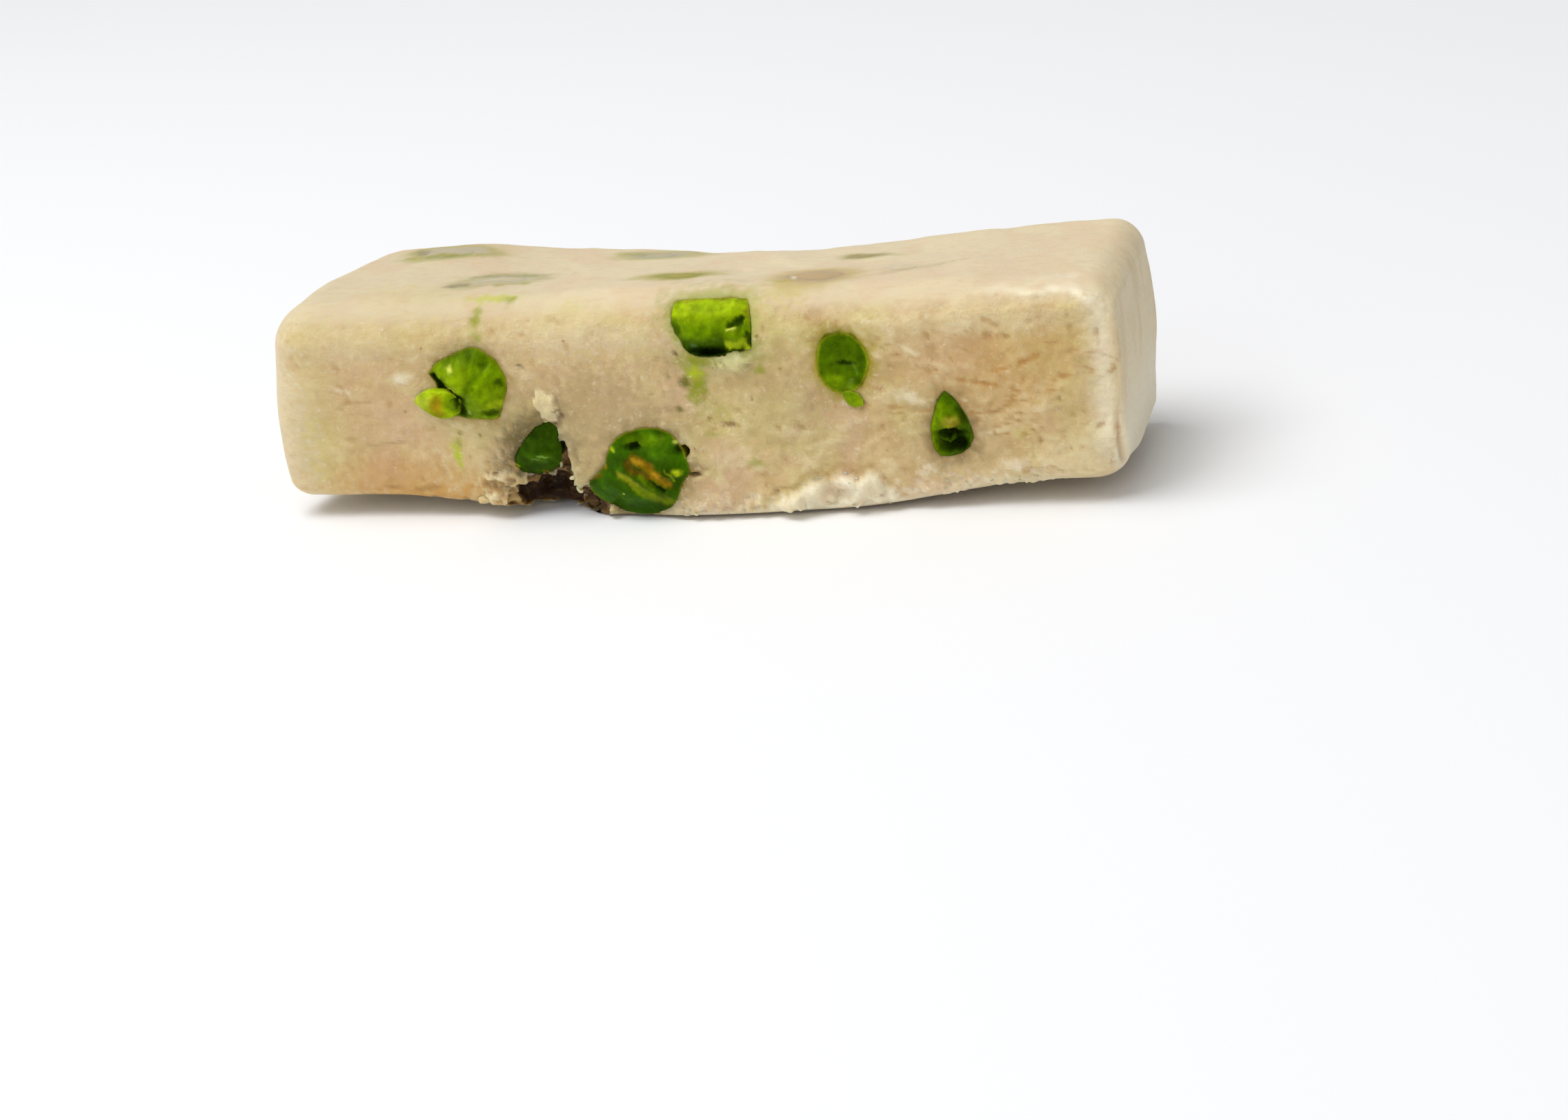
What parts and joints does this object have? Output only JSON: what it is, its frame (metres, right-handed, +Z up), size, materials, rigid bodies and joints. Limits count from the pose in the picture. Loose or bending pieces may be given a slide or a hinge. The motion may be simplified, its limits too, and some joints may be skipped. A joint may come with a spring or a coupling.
{
  "type": "nougat bar",
  "caption": "Hand-cut bar of pale honey nougat with whole pistachio kernels showing in its cut faces and its smooth top.",
  "frame": {"origin": "middle of the bar's box at the level of the flat that it stands on", "axes": "+X along the bar towards its squarely cut end, -Y out of the torn front cut face, +Z up out of the smooth top"},
  "size_m": [0.1044, 0.0308, 0.027],
  "materials": {
    "nougat": "satin",
    "kernel_flesh": "semi-gloss, moist",
    "kernel_skin": "satin"
  },
  "bodies": {
    "root": {"back_hollow_kernel": "kernel_flesh", "back_long_kernel": "kernel_flesh", "back_round_kernel": "kernel_flesh", "back_split_kernel": "kernel_flesh", "back_sunken_kernel": "kernel_flesh", "base_kernel_1": "kernel_skin", "base_kernel_2": "kernel_skin", "base_kernel_3": "kernel_skin", "front_broken_kernel": "kernel_flesh", "front_domed_kernel": "kernel_flesh", "front_hollow_kernel": "kernel_flesh", "front_oval_kernel": "kernel_flesh", "front_sunken_kernel": "kernel_flesh", "left_end_kernel": "kernel_flesh", "nougat": "nougat", "rim_barrel_kernel": "kernel_flesh", "top_kernel_1": "kernel_skin", "top_kernel_2": "kernel_skin", "top_kernel_3": "kernel_skin", "top_kernel_4": "kernel_skin", "top_kernel_5": "kernel_skin", "top_kernel_6": "kernel_skin", "top_kernel_7": "kernel_skin"}
  },
  "joints": []
}
